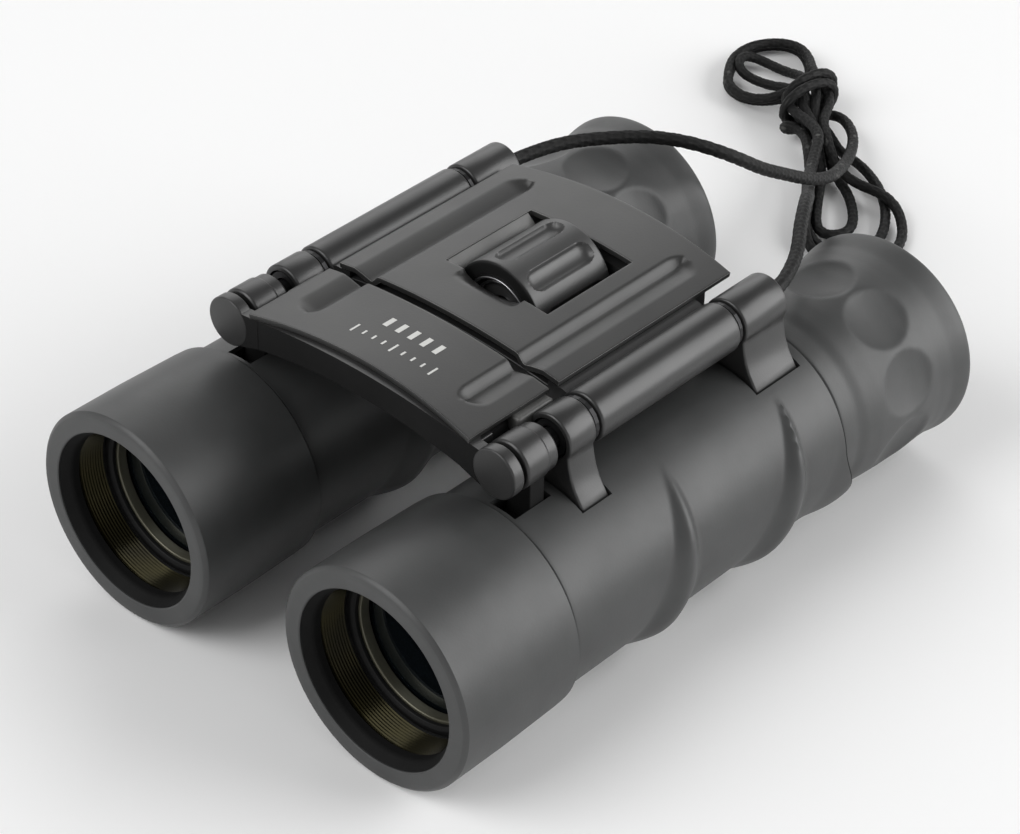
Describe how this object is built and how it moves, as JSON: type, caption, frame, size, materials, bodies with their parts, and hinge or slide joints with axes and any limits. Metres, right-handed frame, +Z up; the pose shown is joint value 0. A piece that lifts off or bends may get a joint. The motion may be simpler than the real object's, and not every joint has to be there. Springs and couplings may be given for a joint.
{
  "type": "binoculars",
  "caption": "Compact folding roof-prism binoculars with a double-hinged bridge, centre focus wheel, ribbed rubber tubes and a knotted wrist cord.",
  "frame": {"origin": "centre of the bounding box of the binoculars without the cord, on the surface they rest on", "axes": "+X towards the tube at the user's left eye, +Y from the objectives to the eyepieces, +Z up"},
  "size_m": [0.1048, 0.198, 0.0486],
  "materials": {
    "rubber_armour": "satin moulded rubber with a very fine grain",
    "eyecup_rubber": "matte moulded rubber with a very fine grain",
    "tube_casting": "satin black moulding",
    "bridge_casting": "satin black moulding",
    "bridge_skin": "satin black painted sheet with a bright worn edge",
    "focus_wheel": "satin black moulding",
    "inner_black": "anti-reflection matte black",
    "coated_glass": "polished, coated with a faint violet tint",
    "prism_glass": "polished",
    "bare_alloy": "turned",
    "steel": "brushed",
    "brass": "turned",
    "cord": "braided"
  },
  "bodies": {
    "bridge": {"main_bridge": "bridge_casting", "bridge_top_plate": "bridge_skin", "bridge_bottom_cover": "bridge_casting", "cover_screw_1": "steel", "cover_screw_2": "steel", "cover_screw_3": "steel", "cover_screw_4": "steel", "left_front_hinge_bush": "steel", "right_front_hinge_bush": "steel", "left_rear_hinge_pin": "steel", "right_rear_hinge_pin": "steel", "left_front_hinge_washer": "steel", "right_front_hinge_washer": "steel", "left_rear_hinge_washer": "steel", "right_rear_hinge_washer": "steel", "left_cord_run": "cord", "right_cord_run": "cord", "cord_hank": "cord"},
    "focus_drive": {"focus_wheel": "focus_wheel", "focus_nut": "brass"},
    "focus_carriage": {"focus_plate": "bridge_casting", "focus_top_plate": "bridge_skin", "focus_screw": "steel", "left_guide_pin": "steel", "right_guide_pin": "steel"},
    "left_tube": {"left_tube_housing": "tube_casting", "left_grip_armour": "rubber_armour", "left_objective_shroud": "rubber_armour", "left_prism_holder": "inner_black", "left_front_prism": "prism_glass", "left_roof_prism": "prism_glass", "left_prism_clip": "steel", "left_field_stop": "inner_black", "left_eyepiece_barrel": "inner_black", "left_field_lens": "coated_glass", "left_lens_spacer": "inner_black", "left_eye_lens": "coated_glass", "left_eyepiece_retaining_ring": "inner_black", "left_eyecup": "eyecup_rubber"},
    "left_objective": {"left_objective_cell": "inner_black", "left_objective_lens": "coated_glass", "left_objective_retaining_ring": "bare_alloy"},
    "right_tube": {"right_tube_housing": "tube_casting", "right_grip_armour": "rubber_armour", "right_objective_shroud": "rubber_armour", "right_prism_holder": "inner_black", "right_front_prism": "prism_glass", "right_roof_prism": "prism_glass", "right_prism_clip": "steel", "right_field_stop": "inner_black"},
    "right_objective": {"right_objective_cell": "inner_black", "right_objective_lens": "coated_glass", "right_objective_retaining_ring": "bare_alloy"},
    "right_eyepiece": {"right_eyepiece_barrel": "inner_black", "right_field_lens": "coated_glass", "right_lens_spacer": "inner_black", "right_eye_lens": "coated_glass", "right_eyepiece_retaining_ring": "inner_black", "right_eyecup": "eyecup_rubber"}
  },
  "joints": [
    {"name": "left_fold", "type": "hinge", "parent": "bridge", "child": "left_tube", "pos_m": [0.0262, 0, 0.0408], "axis": [0, -1, 0], "range_deg": [-18, 26]},
    {"name": "right_fold", "type": "hinge", "parent": "bridge", "child": "right_tube", "pos_m": [-0.0262, 0, 0.0408], "axis": [0, 1, 0], "range_deg": [-18, 26]},
    {"name": "focus_wheel_turn", "type": "hinge", "parent": "bridge", "child": "focus_drive", "pos_m": [0, 0.0026, 0.0403], "axis": [0, 1, 0], "range_deg": [-90, 270]},
    {"name": "carriage_slide", "type": "slide", "parent": "bridge", "child": "focus_carriage", "axis": [0, 1, 0], "range_m": [-0.003, 0.001]},
    {"name": "left_objective_slide", "type": "slide", "parent": "left_tube", "child": "left_objective", "axis": [0, 1, 0], "range_m": [-0.003, 0.001]},
    {"name": "right_objective_slide", "type": "slide", "parent": "right_tube", "child": "right_objective", "axis": [0, 1, 0], "range_m": [-0.003, 0.001]},
    {"name": "diopter_turn", "type": "hinge", "parent": "right_tube", "child": "right_eyepiece", "pos_m": [-0.0253, 0.0425, 0.0175], "axis": [0, 1, 0], "range_deg": [-60, 60]}
  ],
  "couplings": [
    {"joint": "focus_wheel_turn", "follows": "carriage_slide", "rad_per_m": -1570.8},
    {"joint": "left_objective_slide", "follows": "carriage_slide", "ratio": 1},
    {"joint": "right_objective_slide", "follows": "carriage_slide", "ratio": 1}
  ]
}
